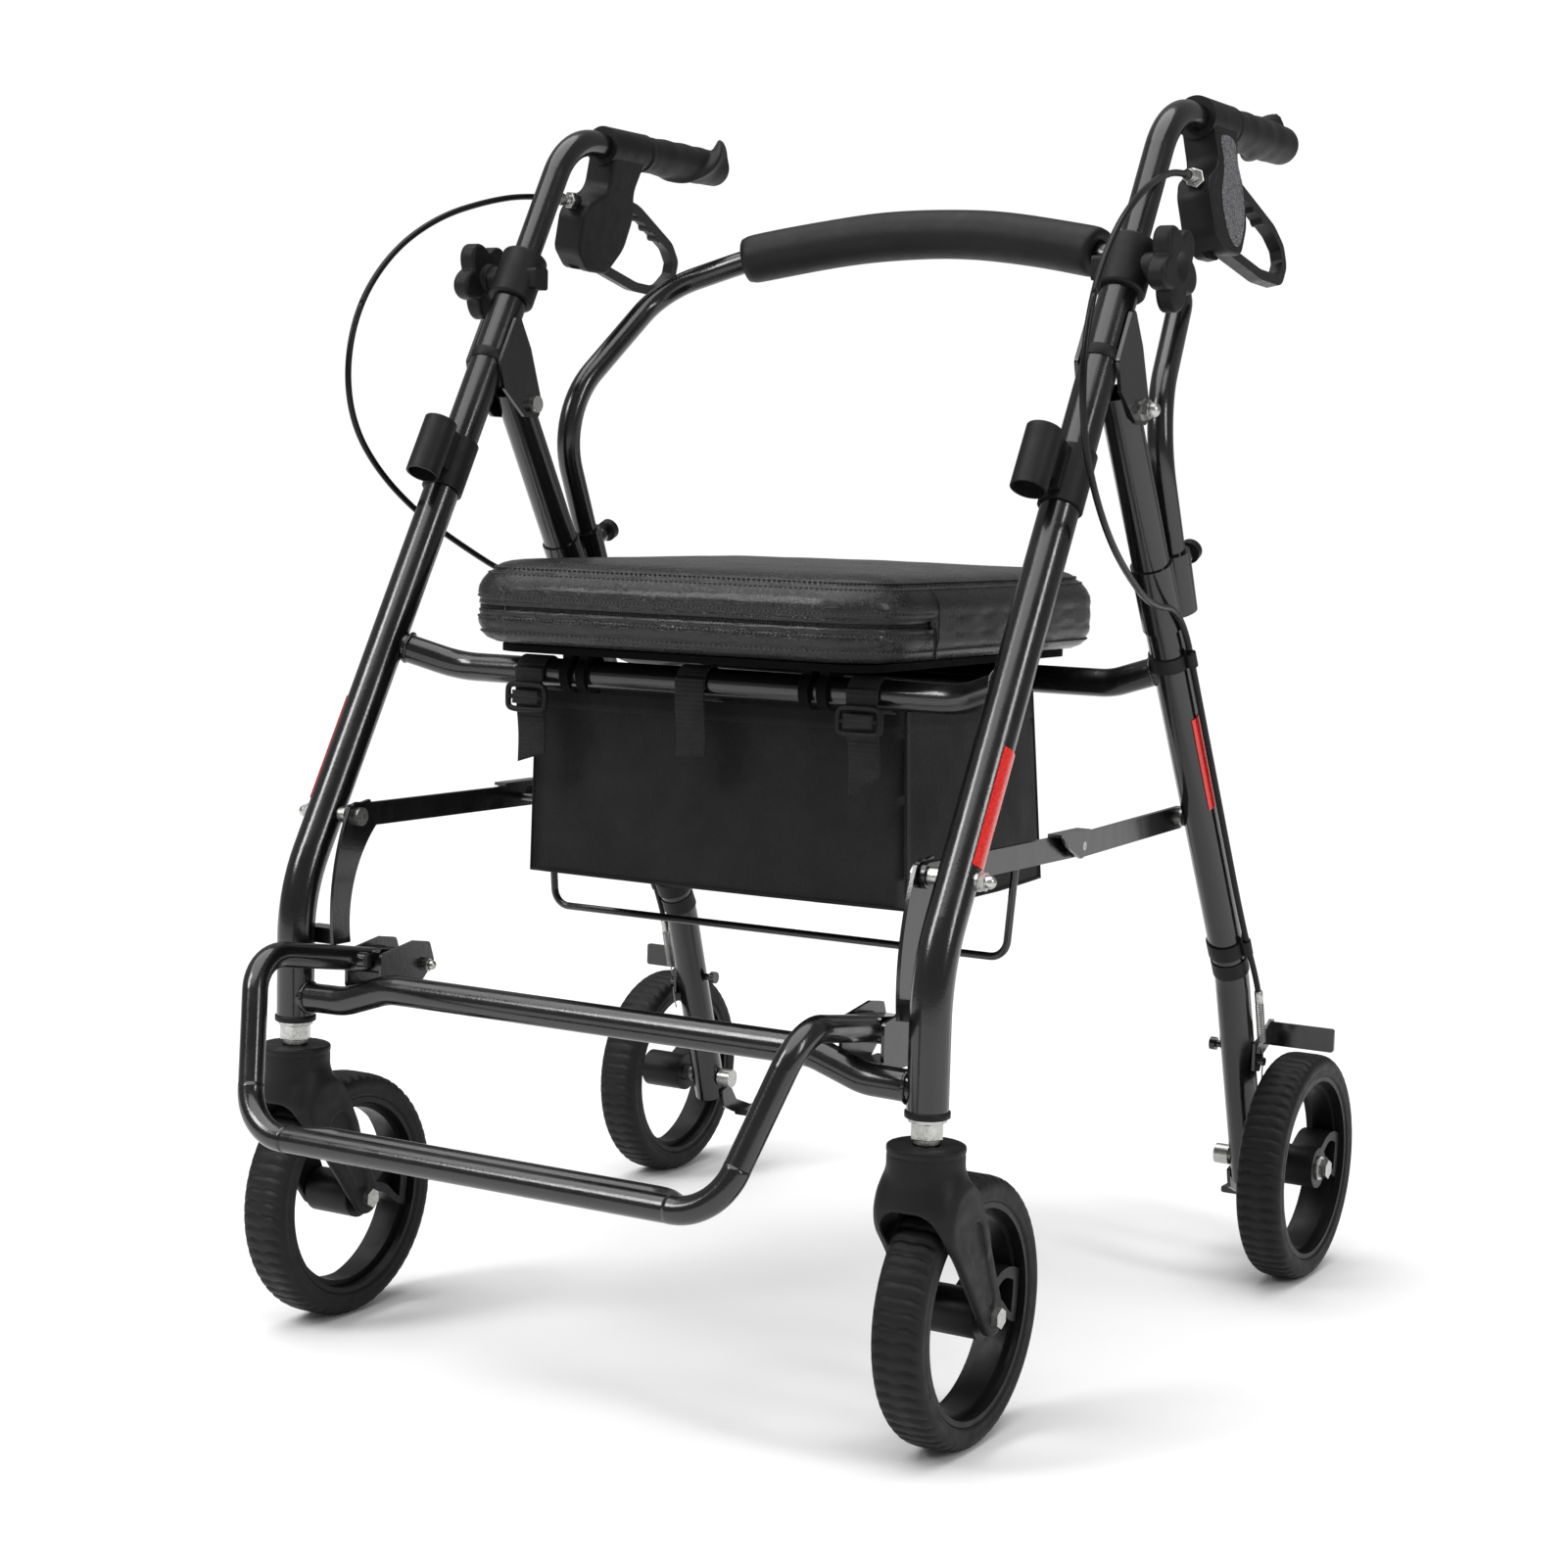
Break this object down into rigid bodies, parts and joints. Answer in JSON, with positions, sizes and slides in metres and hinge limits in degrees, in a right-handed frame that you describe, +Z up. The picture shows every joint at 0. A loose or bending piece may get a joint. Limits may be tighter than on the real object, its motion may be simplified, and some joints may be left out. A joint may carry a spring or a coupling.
{
  "type": "rollator walker",
  "caption": "Folding rollator walker with a padded seat, cloth bag, arched backrest, swing-up footrest, casters and loop brake levers.",
  "frame": {"origin": "centre of the footprint, on the floor", "axes": "+Z up; +Y from the casters towards the rear wheels and the person who walks behind; +X to that person's left"},
  "size_m": [0.69, 0.844, 0.958],
  "materials": {
    "frame_steel": "gloss black powder coat",
    "plastic": "matte moulded",
    "zinc": "zinc plated",
    "rim_plastic": "satin moulded",
    "tyre": "solid polyurethane, matte",
    "grip_rubber": "matte",
    "seat_vinyl": "grained, satin",
    "seat_board": "matte",
    "foam": "satin foam skin",
    "bag_cloth": "woven nylon",
    "webbing": "woven webbing",
    "reflector": "red prismatic",
    "cable_sheath": "satin",
    "spring_steel": "zinc plated"
  },
  "bodies": {
    "frame": {"front_leg_left": "frame_steel", "front_leg_right": "frame_steel", "seat_bar_front": "frame_steel", "lower_crossbar": "frame_steel", "hinge_plates": "frame_steel", "frame_bolts": "zinc", "height_collars": "plastic", "cane_holders": "plastic", "frame_brackets": "frame_steel", "caster_stems": "zinc", "front_reflectors": "reflector", "bag": "bag_cloth", "bag_straps": "webbing", "brake_cable_left": "cable_sheath", "brake_cable_right": "cable_sheath"},
    "rear_frame": {"rear_leg_left": "frame_steel", "rear_leg_right": "frame_steel", "seat_bar_rear": "frame_steel", "backrest_sockets": "frame_steel", "rear_axle_bolts": "zinc", "cable_clips": "plastic", "kerb_pedals": "frame_steel", "rear_reflectors": "reflector", "lower_cables": "cable_sheath", "brake_springs": "spring_steel"},
    "front_link_pair": {"front_links": "frame_steel", "lock_bar": "frame_steel"},
    "rear_link_pair": {"rear_links": "frame_steel", "link_bolts": "zinc"},
    "seat": {"seat_pad": "seat_vinyl", "seat_base": "seat_board"},
    "backrest": {"backrest_tube": "frame_steel", "backrest_pad": "foam"},
    "footrest": {"footrest": "frame_steel"},
    "caster_left": {"caster_fork_left": "plastic", "caster_axle_left": "zinc"},
    "front_wheel_left": {"front_rim_left": "rim_plastic", "front_tyre_left": "tyre"},
    "rear_wheel_left": {"rear_rim_left": "rim_plastic", "rear_tyre_left": "tyre"},
    "handle_left": {"handle_tube_left": "frame_steel", "grip_left": "grip_rubber", "brake_housing_left": "plastic"},
    "lever_left": {"brake_lever_left": "plastic"},
    "brake_arm_left": {"brake_arm_left": "frame_steel"},
    "knob_left": {"height_knob_left": "plastic"},
    "pin_left": {"backrest_pin_left": "plastic"},
    "caster_right": {"caster_fork_right": "plastic", "caster_axle_right": "zinc"},
    "front_wheel_right": {"front_rim_right": "rim_plastic", "front_tyre_right": "tyre"},
    "rear_wheel_right": {"rear_rim_right": "rim_plastic", "rear_tyre_right": "tyre"},
    "handle_right": {"handle_tube_right": "frame_steel", "grip_right": "grip_rubber", "brake_housing_right": "plastic"},
    "lever_right": {"brake_lever_right": "plastic"},
    "brake_arm_right": {"brake_arm_right": "frame_steel"},
    "knob_right": {"height_knob_right": "plastic"},
    "pin_right": {"backrest_pin_right": "plastic"}
  },
  "joints": [
    {"name": "fold", "type": "hinge", "parent": "frame", "child": "rear_frame", "pos_m": [0, 0, 0.717], "axis": [-1, 0, 0], "range_deg": [0, 32], "deforming": ["bag"]},
    {"name": "front_link_turn", "type": "hinge", "parent": "frame", "child": "front_link_pair", "pos_m": [0, -0.236, 0.396], "axis": [1, 0, 0], "range_deg": [0, 36.5], "deforming": ["bag"]},
    {"name": "knee", "type": "hinge", "parent": "front_link_pair", "child": "rear_link_pair", "pos_m": [0, 0, 0.394], "axis": [-1, 0, 0], "range_deg": [0, 117], "deforming": ["bag"]},
    {"name": "seat_flip", "type": "hinge", "parent": "frame", "child": "seat", "pos_m": [0, -0.137, 0.508], "axis": [1, 0, 0], "range_deg": [0, 80]},
    {"name": "footrest_fold", "type": "hinge", "parent": "frame", "child": "footrest", "pos_m": [0, -0.209, 0.283], "axis": [-1, 0, 0], "range_deg": [0, 80]},
    {"name": "backrest_slide", "type": "slide", "parent": "rear_frame", "child": "backrest", "axis": [0, -0.4108, 0.9117], "range_m": [0, 0.045]},
    {"name": "caster_swivel_left", "type": "hinge", "parent": "frame", "child": "caster_left", "pos_m": [0.272, -0.272, 0.2], "axis": [0, 0, 1], "continuous": true},
    {"name": "front_wheel_spin_left", "type": "hinge", "parent": "caster_left", "child": "front_wheel_left", "pos_m": [0.272, -0.218, 0.095], "axis": [1, 0, 0], "continuous": true},
    {"name": "rear_wheel_spin_left", "type": "hinge", "parent": "rear_frame", "child": "rear_wheel_left", "pos_m": [0.316, 0.327, 0.095], "axis": [1, 0, 0], "continuous": true},
    {"name": "height_left", "type": "slide", "parent": "frame", "child": "handle_left", "axis": [0, 0.4924, 0.8704], "range_m": [-0.05, 0.05]},
    {"name": "brake_squeeze_left", "type": "hinge", "parent": "handle_left", "child": "lever_left", "pos_m": [0.28726, 0.124, 0.86297], "axis": [0.9816, 0, 0.1908], "range_deg": [0, 15], "stiffness_Nm_per_rad": 2, "springref_deg": -17.19},
    {"name": "brake_arm_turn_left", "type": "hinge", "parent": "rear_frame", "child": "brake_arm_left", "pos_m": [0.29, 0.297, 0.196], "axis": [-1, 0, 0], "range_deg": [0, 6.2]},
    {"name": "knob_turn_left", "type": "hinge", "parent": "frame", "child": "knob_left", "pos_m": [0.3, 0, 0.819], "axis": [1, 0, 0], "range_deg": [0, 360]},
    {"name": "pin_pull_left", "type": "slide", "parent": "rear_frame", "child": "pin_left", "axis": [0, 0.9117, 0.4108], "range_m": [0, 0.006], "stiffness_N_per_m": 300, "springref_m": -0.004},
    {"name": "caster_swivel_right", "type": "hinge", "parent": "frame", "child": "caster_right", "pos_m": [-0.272, -0.272, 0.2], "axis": [0, 0, 1], "continuous": true},
    {"name": "front_wheel_spin_right", "type": "hinge", "parent": "caster_right", "child": "front_wheel_right", "pos_m": [-0.272, -0.218, 0.095], "axis": [1, 0, 0], "continuous": true},
    {"name": "rear_wheel_spin_right", "type": "hinge", "parent": "rear_frame", "child": "rear_wheel_right", "pos_m": [-0.316, 0.327, 0.095], "axis": [1, 0, 0], "continuous": true},
    {"name": "height_right", "type": "slide", "parent": "frame", "child": "handle_right", "axis": [0, 0.4924, 0.8704], "range_m": [-0.05, 0.05]},
    {"name": "brake_squeeze_right", "type": "hinge", "parent": "handle_right", "child": "lever_right", "pos_m": [-0.28726, 0.124, 0.86297], "axis": [0.9816, 0, -0.1908], "range_deg": [0, 15], "stiffness_Nm_per_rad": 2, "springref_deg": -17.19},
    {"name": "brake_arm_turn_right", "type": "hinge", "parent": "rear_frame", "child": "brake_arm_right", "pos_m": [-0.29, 0.297, 0.196], "axis": [-1, 0, 0], "range_deg": [0, 6.2]},
    {"name": "knob_turn_right", "type": "hinge", "parent": "frame", "child": "knob_right", "pos_m": [-0.3, 0, 0.819], "axis": [-1, 0, 0], "range_deg": [0, 360]},
    {"name": "pin_pull_right", "type": "slide", "parent": "rear_frame", "child": "pin_right", "axis": [0, 0.9117, 0.4108], "range_m": [0, 0.006], "stiffness_N_per_m": 300, "springref_m": -0.004}
  ],
  "couplings": [
    {"joint": "front_link_turn", "follows": "fold", "ratio": 1.125},
    {"joint": "knee", "follows": "fold", "ratio": 3.63},
    {"joint": "brake_arm_turn_left", "follows": "brake_squeeze_left", "ratio": 0.4},
    {"joint": "brake_arm_turn_right", "follows": "brake_squeeze_right", "ratio": 0.4}
  ]
}
